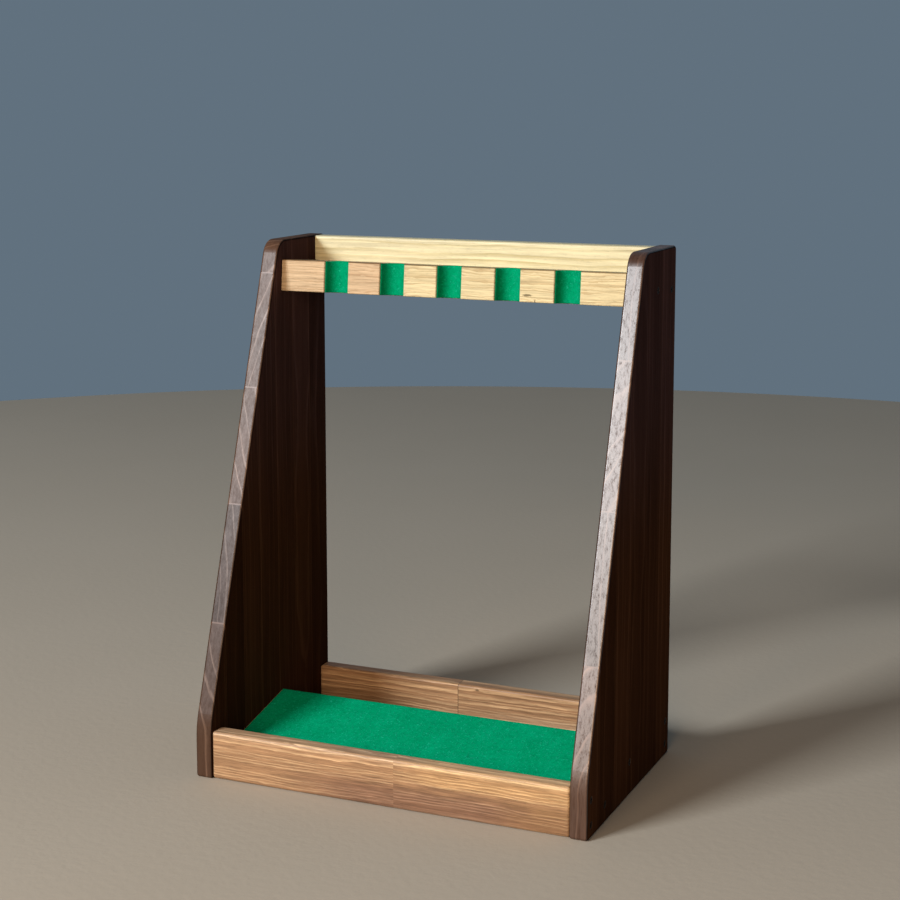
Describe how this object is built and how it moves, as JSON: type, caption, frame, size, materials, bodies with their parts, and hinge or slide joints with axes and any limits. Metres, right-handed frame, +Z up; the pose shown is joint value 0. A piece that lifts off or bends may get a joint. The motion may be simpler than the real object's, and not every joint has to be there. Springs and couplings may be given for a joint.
{
  "type": "floor cue rack",
  "caption": "Free-standing wooden floor rack that holds billiard cues upright in felt-lined notches above a felt-covered base.",
  "frame": {"origin": "on the floor, in the middle of the rack's width and depth", "axes": "+Z up, +Y to the rear, +X to the right seen from the front"},
  "size_m": [0.44, 0.273, 0.562],
  "materials": {
    "dark_wood": "satin dark walnut stain on edge-glued board",
    "brown_pine": "satin oiled pine",
    "pale_pine": "satin clear-coated pine",
    "green_felt": "matte wool felt",
    "dark_steel": "black phosphate screw"
  },
  "bodies": {
    "root": {"left_side_panel": "dark_wood", "right_side_panel": "dark_wood", "front_rail": "brown_pine", "rear_rail": "brown_pine", "base_board": "brown_pine", "base_felt": "green_felt", "cue_rest": "pale_pine", "notch_felt_1": "green_felt", "notch_felt_2": "green_felt", "notch_felt_3": "green_felt", "notch_felt_4": "green_felt", "notch_felt_5": "green_felt", "top_back_rail": "pale_pine", "front_rail_screws": "dark_steel", "rear_rail_screws": "dark_steel", "base_board_screws": "dark_steel", "cue_rest_screws": "dark_steel", "top_back_rail_screws": "dark_steel", "cue_rest_back_screws": "dark_steel"}
  },
  "joints": []
}
